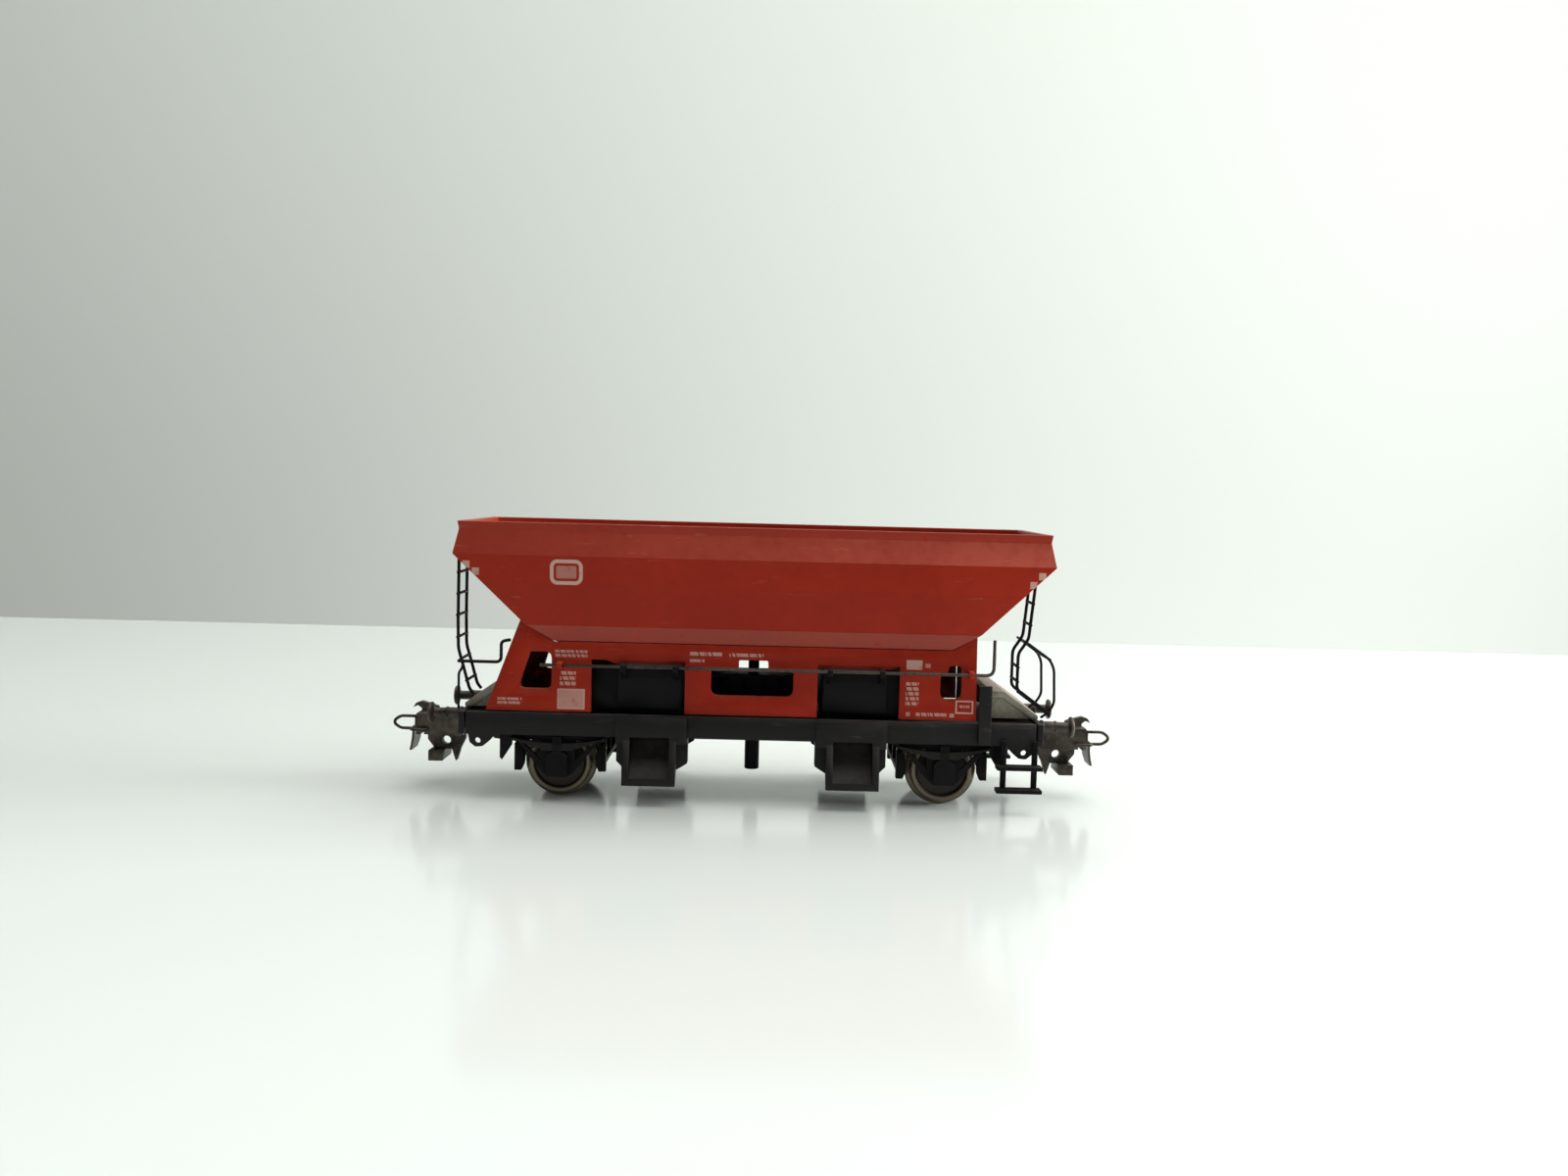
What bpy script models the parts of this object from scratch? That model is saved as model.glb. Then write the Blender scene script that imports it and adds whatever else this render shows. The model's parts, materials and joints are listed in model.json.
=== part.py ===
"""Two-axle self-discharging saddle hopper wagon, H0 scale (1:87), as an assembly.

Frame: X along the track, Y across it, Z up; the origin lies on the rail-side plane of the
wheel flanges, midway between the axles and midway across the wagon.
Left is -X, right is +X, near is -Y, far is +Y. The brakeman's end is the right end.
All dimensions below are millimetres; every mesh is scaled to metres once, when it is finished.
"""
import math

import bmesh
import bpy
from mathutils import Matrix, Vector

# ---------------------------------------------------------------- driving dimensions (mm)
MM = 0.001
SIDES = {"near": -1, "far": 1}
ENDS = {"left": -1, "right": 1}

WHEELBASE = 69.0
AXLE_X = WHEELBASE / 2
FLANGE_R = 6.55
TREAD_R = 5.45
BACK_TO_BACK = 14.0
WHEEL_WIDTH = 2.9
AXLE_Z = FLANGE_R

RIM_Z = 49.8                    # top of the hopper
HOPPER_LEVELS = (               # half length, half width, height of each crease of the body
    (24.8, 11.4, 24.9),         # neck, bottom
    (33.2, 11.4, 28.0),         # neck, top
    (34.2, 12.35, 28.6),        # step over the side walls
    (35.4, 13.5, 29.0),
    (40.2, 14.8, 31.9),
    (47.3, 15.8, 38.9),
    (52.7, 16.1, 44.1),         # widest line
    (51.85, 14.85, 48.4),
    (52.1, 15.05, RIM_Z),
)
HOPPER_WALL = 0.85
FUNNEL_Z = 30.4                 # where the two funnels start
OUTLET_X = (12.7, 23.8)         # outlet shaft, inboard and outboard face
OUTLET_HALF_Y = 10.7
OUTLET_Z = 27.2                 # where a funnel becomes a straight shaft
BELLY_NOTCH = (3.1, 26.0)       # half width and height of the notch under the body

WALL_Y = (12.6, 13.5)           # inner and outer face of the red side walls
WALL_BOTTOM = 16.4
STRIP_Z = (25.8, 29.2)          # strip that joins the three panels of a wall

SILL_Y = (12.9, 14.0)
SILL_Z = (12.1, 16.1)
FRAME_X = 50.6                  # half length of the sills
HEADSTOCK_X = (50.9, 51.9)
FLOOR_Z = (14.6, 15.8)
FLOOR_HALF_Y = 12.6

ROD_Y = 14.9                    # gate rod axis
ROD_Z = 24.8
ROD_R = 0.31
ROD_EYE_X = (-34.0, 38.6)       # lugs on each wall that the rod turns in
ROD_X = (-37.4, 42.5)
FLAP_Y = (11.7, 12.35)
FLAP_X = (12.5, 23.9)
FLAP_Z = (17.1, 24.3)
SADDLE_HALF_Y = 11.4

BUFFER_Y = 10.0
BUFFER_Z = 15.1
BUFFER_FRONT = 58.0

COUPLER_PIVOT = 47.0
LOOP_PIVOT = (60.4, 10.8)       # x, z
LOOP_HALF_Y = 4.2
LOOP_EYE = (62.95, 66.95, 10.25, 12.55)     # x and z span of the upright eye
WIRE_R = 0.29


# ---------------------------------------------------------------- small tools
def material(name, colour, roughness, metallic):
    """A Principled material in the piece's own colour."""
    mat = bpy.data.materials.new(name)
    mat.use_nodes = True
    shader = mat.node_tree.nodes["Principled BSDF"]
    shader.inputs["Base Color"].default_value = (*colour, 1.0)
    shader.inputs["Roughness"].default_value = roughness
    shader.inputs["Metallic"].default_value = metallic
    mat.diffuse_color = (*colour, 1.0)
    return mat


FINISHES = {
    "red_plastic": ((0.30, 0.030, 0.017), 0.45, 0.0),
    "black_plastic": ((0.014, 0.013, 0.014), 0.5, 0.0),
    "burnished_metal": ((0.10, 0.085, 0.065), 0.4, 0.9),
    "wheel_metal": ((0.12, 0.11, 0.09), 0.35, 1.0),
    "rod_wire": ((0.10, 0.085, 0.08), 0.4, 0.8),
    "ballast_metal": ((0.22, 0.20, 0.15), 0.5, 0.8),
}


def clear_scene():
    for old in list(bpy.data.objects):
        bpy.data.objects.remove(old, do_unlink=True)


def mesh_object(name, bm):
    """Turn a bmesh into a linked object, with its faces pointing out."""
    bmesh.ops.remove_doubles(bm, verts=bm.verts, dist=1e-4)
    bmesh.ops.recalc_face_normals(bm, faces=bm.faces)
    mesh = bpy.data.meshes.new(name)
    bm.to_mesh(mesh)
    bm.free()
    obj = bpy.data.objects.new(name, mesh)
    bpy.context.collection.objects.link(obj)
    return obj


def evaluated(obj):
    """Replace an object's mesh by what its modifiers or curve settings make of it."""
    graph = bpy.context.evaluated_depsgraph_get()
    mesh = bpy.data.meshes.new_from_object(obj.evaluated_get(graph))
    bm = bmesh.new()
    bm.from_mesh(mesh)
    bpy.data.meshes.remove(mesh)
    name = obj.name
    bpy.data.objects.remove(obj, do_unlink=True)
    return mesh_object(name, bm)


def combine(base, join=(), cut=()):
    """Fuse solids onto a base and cut others out of it."""
    for operation, others in (("UNION", join), ("DIFFERENCE", cut)):
        for other in others:
            modifier = base.modifiers.new(operation.title(), "BOOLEAN")
            modifier.operation = operation
            modifier.solver = "EXACT"
            modifier.object = other
    solid = evaluated(base)
    for other in (*join, *cut):
        bpy.data.objects.remove(other, do_unlink=True)
    return solid


def finish(obj, name, finish_name, pivot=(0.0, 0.0, 0.0), smooth=None):
    """Name a piece, give it its material, scale it to metres and put its origin on its pivot."""
    obj.name = name
    obj.data.name = name
    obj.data.transform(Matrix.Scale(MM, 4) @ Matrix.Translation(-Vector(pivot)))
    obj.location = Vector(pivot) * MM
    if smooth is not None:
        obj.data.shade_smooth()
        obj.data.set_sharp_from_angle(angle=math.radians(smooth))
    obj.data.materials.clear()
    obj.data.materials.append(MATERIALS[finish_name])
    return obj


def box(x0, x1, y0, y1, z0, z1):
    bm = bmesh.new()
    bmesh.ops.create_cube(bm, size=1.0)
    size = Matrix.Diagonal((abs(x1 - x0), abs(y1 - y0), abs(z1 - z0), 1.0))
    centre = Matrix.Translation(((x0 + x1) / 2, (y0 + y1) / 2, (z0 + z1) / 2))
    bm.transform(centre @ size)
    return mesh_object("box", bm)


def loft(levels):
    """A stack of rectangles (x0, x1, y0, y1, z), bottom to top, skinned and capped."""
    bm = bmesh.new()
    rings = []
    for x0, x1, y0, y1, z in levels:
        rings.append([bm.verts.new(p) for p in ((x0, y0, z), (x1, y0, z), (x1, y1, z), (x0, y1, z))])
    for low, high in zip(rings, rings[1:]):
        for i in range(4):
            j = (i + 1) % 4
            bm.faces.new((low[i], low[j], high[j], high[i]))
    bm.faces.new(rings[0][::-1])
    bm.faces.new(rings[-1])
    return mesh_object("loft", bm)


def centred(levels, inset=0.0):
    """Rectangles for loft() from half length, half width and height."""
    return [(-hx + inset, hx - inset, -hy + inset, hy - inset, z) for hx, hy, z in levels]


def rounded(points, radius, steps=4):
    """Round the corners of a closed outline; radius is one number or one per corner."""
    radii = radius if isinstance(radius, (list, tuple)) else [radius] * len(points)
    outline = []
    for i, (corner, r) in enumerate(zip(points, radii)):
        here = Vector(corner)
        before = Vector(points[i - 1])
        after = Vector(points[(i + 1) % len(points)])
        if r <= 0:
            outline.append(tuple(here))
            continue
        back = (before - here).normalized()
        ahead = (after - here).normalized()
        half = back.angle(ahead) / 2
        reach = min(r / math.tan(half), (before - here).length * 0.49, (after - here).length * 0.49)
        start, end = here + back * reach, here + ahead * reach
        for k in range(steps + 1):
            t = k / steps
            point = start * (1 - t) ** 2 + here * 2 * t * (1 - t) + end * t ** 2
            outline.append(tuple(point))
    return outline


def circle(cx, cz, radius, steps=16):
    """Points of a round hole or disc outline."""
    turn = 2 * math.pi / steps
    return [(cx + radius * math.cos(turn * i), cz + radius * math.sin(turn * i)) for i in range(steps)]


def plate(outline, low, high, holes=(), plane="XZ"):
    """A flat plate: an outline with holes, in the XZ, YZ or XY plane, between two depths."""
    curve = bpy.data.curves.new("plate", "CURVE")
    curve.dimensions = "2D"
    curve.fill_mode = "BOTH"
    curve.extrude = abs(high - low) / 2
    for loop in (outline, *holes):
        spline = curve.splines.new("POLY")
        spline.points.add(len(loop) - 1)
        for point, (u, v) in zip(spline.points, loop):
            point.co = (u, v, 0.0, 1.0)
        spline.use_cyclic_u = True
    obj = bpy.data.objects.new("plate", curve)
    bpy.context.collection.objects.link(obj)
    solid = evaluated(obj)
    middle = (low + high) / 2
    if plane == "XZ":
        place = Matrix(((1, 0, 0, 0), (0, 0, -1, middle), (0, 1, 0, 0), (0, 0, 0, 1)))
    elif plane == "YZ":
        place = Matrix(((0, 0, 1, middle), (1, 0, 0, 0), (0, 1, 0, 0), (0, 0, 0, 1)))
    else:
        place = Matrix.Translation((0, 0, middle))
    solid.data.transform(place)
    return solid


def wire(points, radius, sides=8, bend=0.0):
    """A round wire along a path; inner corners are bent to a radius."""
    path = [Vector(p) for p in points]
    if bend > 0:
        path = bent_path(path, bend)
    curve = bpy.data.curves.new("wire", "CURVE")
    curve.dimensions = "3D"
    curve.bevel_depth = radius
    curve.bevel_resolution = sides // 2 - 2
    curve.use_fill_caps = True
    spline = curve.splines.new("POLY")
    spline.points.add(len(path) - 1)
    for point, co in zip(spline.points, path):
        point.co = (*co, 1.0)
    obj = bpy.data.objects.new("wire", curve)
    bpy.context.collection.objects.link(obj)
    return evaluated(obj)


def bent_path(path, radius, steps=4):
    """Replace each inner corner of a polyline by a short curve."""
    smooth = [path[0]]
    for before, here, after in zip(path, path[1:], path[2:]):
        back = (before - here)
        ahead = (after - here)
        reach = min(radius, back.length * 0.45, ahead.length * 0.45)
        start = here + back.normalized() * reach
        end = here + ahead.normalized() * reach
        for k in range(steps + 1):
            t = k / steps
            smooth.append(start * (1 - t) ** 2 + here * 2 * t * (1 - t) + end * t ** 2)
    smooth.append(path[-1])
    return smooth


def turned(profile, centre, segments=40):
    """A solid of revolution about a Y axis through centre; profile is (radius, y) points."""
    bm = bmesh.new()
    verts = [bm.verts.new((r, y, 0.0)) for r, y in profile]
    edges = [bm.edges.new((verts[i], verts[(i + 1) % len(verts)])) for i in range(len(verts))]
    bmesh.ops.spin(bm, geom=verts + edges, cent=(0, 0, 0), axis=(0, 1, 0), dvec=(0, 0, 0),
                   angle=2 * math.pi, steps=segments, use_merge=False, use_duplicate=False)
    bmesh.ops.transform(bm, matrix=Matrix.Translation(centre), verts=bm.verts)
    return mesh_object("turned", bm)


def rod_along(axis, start, end, centre, radius, sides=20):
    """A plain cylinder along X, Y or Z; centre gives the two other coordinates."""
    low = {"X": (start, *centre), "Y": (centre[0], start, centre[1]), "Z": (*centre, start)}[axis]
    high = {"X": (end, *centre), "Y": (centre[0], end, centre[1]), "Z": (*centre, end)}[axis]
    low, high = Vector(low), Vector(high)
    bm = bmesh.new()
    bmesh.ops.create_cone(bm, cap_ends=True, segments=sides, radius1=radius, radius2=radius,
                          depth=(high - low).length)
    turn = (high - low).to_track_quat("Z", "Y").to_matrix().to_4x4()
    bm.transform(Matrix.Translation((low + high) / 2) @ turn)
    return mesh_object("cylinder", bm)


def mirrored(points, sx):
    """Mirror an outline in x, keeping its winding."""
    flipped = [(sx * x, z) for x, z in points]
    return flipped if sx > 0 else flipped[::-1]


def sided(points, sy):
    """An outline given as (distance outward, height) for one side of the wagon, in y and z."""
    return [(sy * y, z) for y, z in points]


# ---------------------------------------------------------------- red body
def hopper_outer(grow=0.0, lower=0.0):
    return loft([(x0, x1, y0, y1, z - lower) for x0, x1, y0, y1, z in centred(HOPPER_LEVELS, -grow)])


def hopper_shell():
    """The open-topped body: a thin wall all round, two funnels and two outlet shafts."""
    wall = HOPPER_WALL
    inner = [(hx - 1.25 * wall, hy - wall, z) for hx, hy, z in HOPPER_LEVELS[5:]]
    inner[-1] = (inner[-1][0], inner[-1][1], RIM_Z + 1.0)
    floor = [(34.6, OUTLET_HALF_Y + 0.2, FUNNEL_Z), (35.8, 12.9, 31.1), (38.4, 13.7, 32.4)]
    cutters = [loft(centred(floor + inner))]
    for sx in ENDS.values():
        low, high = sorted((sx * OUTLET_X[0], sx * OUTLET_X[1]))
        start, end = sorted((sx * 0.06, sx * 34.6))
        half = OUTLET_HALF_Y
        cutters.append(loft([(low, high, -half, half, 24.0), (low, high, -half, half, OUTLET_Z),
                             (start, end, -half - 0.2, half + 0.2, FUNNEL_Z + 0.02)]))
    notch_half, notch_z = BELLY_NOTCH
    cutters.append(box(-notch_half, notch_half, -13.0, 13.0, 24.0, notch_z))
    finish(combine(hopper_outer(), cut=cutters), "hopper_shell", "red_plastic")


def wall_outline():
    """One side wall in x and z: three panels on the sill, joined by a strip under the hopper."""
    bottom = WALL_BOTTOM
    strip, top = STRIP_Z
    return [(-47.2, bottom), (-28.6, bottom), (-28.6, strip), (-12.0, strip), (-12.0, bottom),
            (11.5, bottom), (11.5, strip), (26.1, strip), (26.1, bottom), (39.8, bottom),
            (39.6, 32.2), (35.1, 32.2), (33.2, top), (-33.4, top), (-35.4, 32.2), (-41.2, 32.6),
            (-45.4, 21.2)]


def wall_windows():
    """The three openings of a side wall: left window, centre slot with its notch, right window."""
    left = rounded([(-41.5, 20.4), (-35.6, 20.4), (-35.6, 27.0), (-39.4, 27.0)], [1.0, 1.2, 1.2, 0.5])
    slot = rounded([(-7.4, 19.9), (7.2, 19.9), (7.2, 24.9), (2.7, 24.9), (2.7, 26.4), (-2.5, 26.4),
                    (-2.5, 24.9), (-7.4, 24.9)], [1.4, 1.4, 0.2, 0.2, 0.5, 0.5, 0.2, 0.2])
    right = rounded([(33.3, 20.2), (37.1, 20.2), (37.1, 26.2), (34.9, 26.2), (34.4, 24.5), (33.3, 24.3)],
                    [1.3, 1.3, 0.9, 0.6, 0.3, 0.5])
    return [left, slot, right]


def rod_eye(x, sy):
    """The lug on a wall's face that a gate rod turns in."""
    outline = rounded([(13.2, 24.15), (15.55, 24.15), (15.55, 25.45), (13.2, 25.45)],
                      [0.0, 0.4, 0.4, 0.0])
    hole = circle(sy * ROD_Y, ROD_Z, ROD_R + 0.14, 12)
    return plate(sided(outline, sy), x - 0.5, x + 0.5, [hole], plane="YZ")


def side_walls():
    """A red wall along each side that carries the body on the sill; it clears the body by a hair."""
    for side, sy in SIDES.items():
        wall = plate(wall_outline(), sy * WALL_Y[0], sy * WALL_Y[1], wall_windows())
        eyes = [rod_eye(x, sy) for x in ROD_EYE_X]
        wall = combine(wall, join=eyes, cut=[hopper_outer(0.12, 0.1)])
        finish(wall, f"side_wall_{side}", "red_plastic")


# ---------------------------------------------------------------- discharge gear
def outlet_blocks():
    """Black inserts under the outlets: a saddle that sends the load to both sides, and a housing
    on the outboard wall."""
    x_in, x_out = 12.3, 24.3
    wall, half_y, base, top = 0.9, SADDLE_HALF_Y, 16.5, 24.6
    for end, sx in ENDS.items():
        saddle = plate([(-half_y, base), (half_y, base), (half_y, 17.3), (0.0, 27.0), (-half_y, 17.3)],
                       sx * (x_in + 0.8), sx * (x_out - 0.8), plane="YZ")
        walls = [box(sx * x_in, sx * (x_in + wall), -half_y, half_y, base, top),
                 box(sx * (x_out - wall), sx * x_out, -half_y, half_y, base, top),
                 box(sx * (x_out - 0.3), sx * 30.0, -half_y, half_y, base, 24.7)]
        finish(combine(saddle, join=walls), f"outlet_block_{end}", "black_plastic")


def centre_block():
    """Black block between the two outlets that the centre post stands in, with slotted faces."""
    block = box(-11.9, 11.9, -5.0, 5.0, 16.2, 22.5)
    slots = [box(x - 0.4, x + 0.4, sy * 4.2, sy * 5.4, 19.2, 21.9)
             for x in (-8.6, -5.2, -1.9, 1.9, 5.2, 8.6) for sy in SIDES.values()]
    bore = rod_along("Z", 15.0, 24.0, (0.0, 0.0), 1.3)
    finish(combine(block, cut=[bore, *slots]), "centre_block", "black_plastic")


def gate_gear():
    """One bent rod on each side with two flaps hung from it; each side is one moving unit."""
    for side, sy in SIDES.items():
        pivot = (0.0, sy * ROD_Y, ROD_Z)
        start, end = ROD_X
        path = [(start, sy * ROD_Y, ROD_Z), (end, sy * ROD_Y, ROD_Z), (end, sy * ROD_Y, 31.0)]
        finish(wire(path, ROD_R, bend=1.0), f"gate_rod_{side}", "rod_wire", pivot, 50)
        for end, sx in ENDS.items():
            flap = box(sx * FLAP_X[0], sx * FLAP_X[1], sy * FLAP_Y[0], sy * FLAP_Y[1], *FLAP_Z)
            arm = [(15.65, 24.2), (14.4, 23.0), (12.9, 22.4), (11.9, 22.4), (11.9, 24.2),
                   (14.3, 25.45), (15.3, 25.45), (15.65, 25.1)]
            eye = circle(sy * ROD_Y, ROD_Z, ROD_R + 0.16, 12)
            arms = [plate(sided(arm, sy), sx * x, sx * (x + 0.9), [eye], plane="YZ")
                    for x in (13.2, 22.4)]
            finish(combine(flap, join=arms), f"flap_{side}_{end}", "black_plastic", pivot)


def chutes():
    """Four open troughs below the sills that throw the load clear of the rails."""
    spout = [(7.0, 14.2), (7.0, 11.2), (15.4, 3.9), (16.3, 3.9), (16.3, 7.6), (14.9, 11.7),
             (12.3, 11.7), (12.3, 14.2)]
    hollow = [(8.2, 15.0), (8.2, 11.7), (15.6, 5.2), (18.0, 5.2), (18.0, 11.0), (14.0, 12.6),
              (12.9, 15.0)]
    wings = [(11.4, 14.2), (11.4, 7.3), (13.3, 6.1), (22.7, 6.1), (24.1, 7.5), (24.1, 14.2)]
    for side, sy in SIDES.items():
        for end, sx in ENDS.items():
            body = plate(sided(spout, sy), sx * 13.3, sx * 22.7, plane="YZ")
            collar = plate(mirrored(wings, sx), sy * 9.6, sy * 12.3)
            hanger = box(sx * 11.5, sx * 24.0, sy * 14.35, sy * 14.85, 11.2, 15.9)
            cutter = plate(sided(hollow, sy), sx * 14.5, sx * 21.5, plane="YZ")
            finish(combine(body, join=[collar, hanger], cut=[cutter]), f"chute_{side}_{end}",
                   "black_plastic")


# ---------------------------------------------------------------- underframe
def underframe():
    """Floor with openings for the chutes, two sills with their lugs and two headstocks."""
    floor = box(-FRAME_X, FRAME_X, -FLOOR_HALF_Y, FLOOR_HALF_Y, *FLOOR_Z)
    openings = [box(sx * 11.1, sx * 24.4, sy * 6.6, sy * 13.0, 14.0, 16.2)
                for sx in ENDS.values() for sy in SIDES.values()]
    finish(combine(floor, cut=openings), "underframe_floor", "black_plastic")

    low, high = SILL_Z
    lug = [(x, z) for x, z in ((-50.2, low), (-49.9, 10.6), (-48.9, 9.8), (-47.6, 9.9),
                               (-46.4, 10.9), (-45.6, 11.8), (-44.9, low))]
    right_lug = [(-x, z) for x, z in reversed(lug)]
    outline = [(-FRAME_X, low), *lug, *right_lug, (FRAME_X, low), (FRAME_X, high), (-FRAME_X, high)]
    holes = [circle(sx * 48.5, 10.9, 0.55, 12) for sx in ENDS.values()]
    for side, sy in SIDES.items():
        finish(plate(outline, sy * SILL_Y[0], sy * SILL_Y[1], holes), f"sill_{side}", "black_plastic")

    for end, sx in ENDS.items():
        beam = box(sx * HEADSTOCK_X[0], sx * HEADSTOCK_X[1], -14.0, 14.0, *SILL_Z)
        finish(beam, f"headstock_{end}", "black_plastic")


def end_wedges():
    """Metal brackets that brace each end of the body: two webs under a sloping top plate."""
    start = {"left": 45.0, "right": 43.0}
    for end, sx in ENDS.items():
        x = start[end]
        slope = [(x, 20.1), (45.1, 20.1), (50.4, 16.4), (51.6, 16.4), (51.6, 17.0), (45.4, 21.3),
                 (x, 21.3)]
        web = [(x, 16.4), (50.6, 16.4), (45.3, 20.3), (x, 20.3)]
        top = plate(mirrored(slope, sx), -10.0, 10.0)
        webs = [plate(mirrored(web, sx), sy * 8.9, sy * 9.7) for sy in SIDES.values()]
        finish(combine(top, join=webs), f"end_wedge_{end}", "ballast_metal")


def centre_post():
    """The moulded post that holds the body down and the boss below the floor."""
    upper = rod_along("Z", 16.1, 25.6, (0.0, 0.0), 1.0)
    finish(upper, "centre_post", "black_plastic", smooth=40)
    boss = rod_along("Z", 4.2, 14.3, (0.0, 0.0), 1.35)
    finish(boss, "centre_boss", "black_plastic", smooth=40)


def axle_guards():
    """W-shaped guards with axle box, leaf spring and the pointed brake hanger beside it."""
    for side, sy in SIDES.items():
        for end, sx in ENDS.items():
            mid = sx * AXLE_X
            guard = [(-9.6, 14.2), (-9.6, 11.6), (-7.6, 11.2), (-2.6, 5.0), (-1.6, 4.4), (1.6, 4.4),
                     (2.6, 5.0), (7.6, 11.2), (9.6, 11.6), (9.6, 14.2)]
            gaps = [[(mid + s * 6.9, 11.0), (mid + s * 3.2, 11.0), (mid + s * 3.0, 7.4)]
                    for s in (-1, 1)]
            body = plate([(mid + x, z) for x, z in guard], sy * 11.6, sy * 12.4, gaps)
            axle_box = [(-1.9, 4.7), (1.9, 4.7), (1.9, 8.3), (1.2, 9.0), (-1.2, 9.0), (-1.9, 8.3)]
            axle_box = plate([(mid + x, z) for x, z in axle_box], sy * 12.3, sy * 13.9)
            spring = leaf_spring_outline(mid)
            leaves = plate(spring, sy * 12.3, sy * 13.5)
            pillar = box(mid - 0.8, mid + 0.8, sy * 12.3, sy * 13.7, 8.6, 11.9)
            leg = [(-10.3, 14.2), (-10.3, 7.7), (-9.9, 7.3), (-8.2, 10.0), (-8.0, 14.2)]
            leg = plate([(mid + sx * -x, z) for x, z in leg], sy * 11.8, sy * 12.6)
            cup = rod_along("Y", sy * 11.0, sy * 13.4, (mid, AXLE_Z), 0.95, 16)
            finish(combine(body, join=[axle_box, leaves, pillar, leg], cut=[cup]),
                   f"axle_guard_{side}_{end}", "black_plastic")


def leaf_spring_outline(mid, half=8.2, depth=0.5):
    """Side view of the leaf spring: a shallow bow with a deeper stack in the middle."""
    steps = 12
    top = []
    bottom = []
    for i in range(steps + 1):
        t = -1 + 2 * i / steps
        bow = 11.3 - 0.9 * (1 - t * t)
        stack = 0.75 * max(0.0, 1 - abs(t) * 1.25)
        top.append((mid + half * t, bow + depth / 2))
        bottom.append((mid + half * t, bow - depth / 2 - stack))
    return bottom + top[::-1]


def brake_gear():
    """A brake beam on each side of the axle with a shoe at each tread, and the pull rod."""
    for end, sx in ENDS.items():
        pull_rod = box(sx * (AXLE_X - 8.0), sx * (AXLE_X + 8.0), -0.6, 0.6, 9.3, 10.1)
        pieces = []
        for s in (-1, 1):
            x = sx * AXLE_X + s * 6.9
            shoe = [(x + s * 0.1, 9.8), (x + s * 1.3, 9.8), (x + s * 1.3, 4.9), (x + s * 0.1, 4.9),
                    (x - s * 0.35, 6.0), (x - s * 0.45, 7.4), (x - s * 0.2, 8.9)]
            pieces += [plate(shoe, sy * 8.0, sy * 9.8) for sy in SIDES.values()]
            pieces += [box(x + s * 0.5, x + s * 1.2, sy * 8.5, sy * 9.3, 9.0, 14.3)
                       for sy in SIDES.values()]
            pieces.append(box(x + s * 0.4, x + s * 1.3, -9.0, 9.0, 6.2, 7.1))
            pieces.append(box(x + s * 0.45, x + s * 1.15, -0.6, 0.6, 6.6, 9.9))
        finish(combine(pull_rod, join=pieces), f"brake_gear_{end}", "black_plastic")


# ---------------------------------------------------------------- end fittings
def ladder(profile, y_near, y_far, rungs):
    """A wire ladder: two bent rails and rungs whose ends stand proud of the near rail."""
    rails = [wire([(x, y, z) for x, z in profile], WIRE_R, 6, 0.6) for y in (y_near, y_far)]
    steps = []
    for z in rungs:
        x = rail_x(profile, z)
        steps.append(wire([(x, y_near - 0.7, z), (x, y_far + 0.5, z)], WIRE_R * 0.9, 6))
    return combine(rails[0], join=[rails[1], *steps])


def rail_x(profile, height):
    """Where a ladder rail is at a given height."""
    for (x0, z0), (x1, z1) in zip(profile, profile[1:]):
        if min(z0, z1) <= height <= max(z0, z1) and z0 != z1:
            return x0 + (x1 - x0) * (height - z0) / (z1 - z0)
    return profile[-1][0]


def end_fittings():
    """Ladders at both ends, the left stay, the platform railing, stanchions and steps."""
    left = [(-52.4, 43.3), (-52.5, 32.0), (-52.4, 27.0), (-51.7, 24.6), (-50.4, 19.9), (-49.7, 19.0)]
    rungs = [21.4, 25.2, 29.1, 33.0, 36.8, 40.6]
    finish(ladder(left, -12.0, -5.6, rungs), "ladder_left", "black_plastic", smooth=60)

    stay = wire([(-52.25, -12.9, 24.9), (-44.6, -13.1, 24.9), (-44.6, -13.1, 28.6),
                 (-43.0, -13.1, 28.9)], WIRE_R, 6, 0.7)
    post = wire([(-51.3, -12.9, 24.9), (-51.5, -12.9, 23.7), (-52.1, -12.9, 22.8), (-52.1, -12.9, 16.5)],
                WIRE_R * 0.8, 6, 0.4)
    finish(combine(stay, join=[post]), "ladder_stay_left", "black_plastic", smooth=60)

    right = [(50.0, 41.0), (49.1, 31.0), (47.35, 28.4), (47.35, 21.9), (53.2, 17.7)]
    rungs = [23.4, 26.0, 33.6, 37.4]
    stringer = [(47.3, 21.4), (53.4, 17.0), (53.4, 17.9), (47.3, 22.3)]
    stringer = plate(stringer, -11.6, -10.9)
    finish(combine(ladder(right, -11.2, -5.6, rungs), join=[stringer]), "ladder_right",
           "black_plastic", smooth=60)

    rail = [(49.5, 29.95), (53.3, 27.3), (54.1, 25.6), (54.35, 19.4), (53.4, 17.8), (52.05, 16.8)]
    uprights = [wire([(x, y, z) for x, z in rail], WIRE_R * 0.85, 6, 0.6) for y in (-10.2, 1.4)]
    bars = [wire([(x, -10.35, z), (x, 1.55, z)], WIRE_R * 0.85, 6) for x, z in (rail[0], rail[1])]
    finish(combine(uprights[0], join=[uprights[1], *bars]), "platform_railing", "black_plastic",
           smooth=60)

    for side, sy in SIDES.items():
        post = box(40.15, 42.35, sy * 14.35, sy * 15.1, 12.3, 22.9)
        finish(post, f"stanchion_{side}", "black_plastic")
        strips = [box(x, x + 1.0, sy * 14.35, sy * 14.95, 4.5, 13.2) for x in (44.3, 49.8)]
        treads = [box(43.4, 51.4, sy * 14.3, sy * 17.0, z, z + 0.65) for z in (8.3, 4.2)]
        finish(combine(treads[0], join=[treads[1], *strips]), f"footstep_{side}", "black_plastic")


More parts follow.
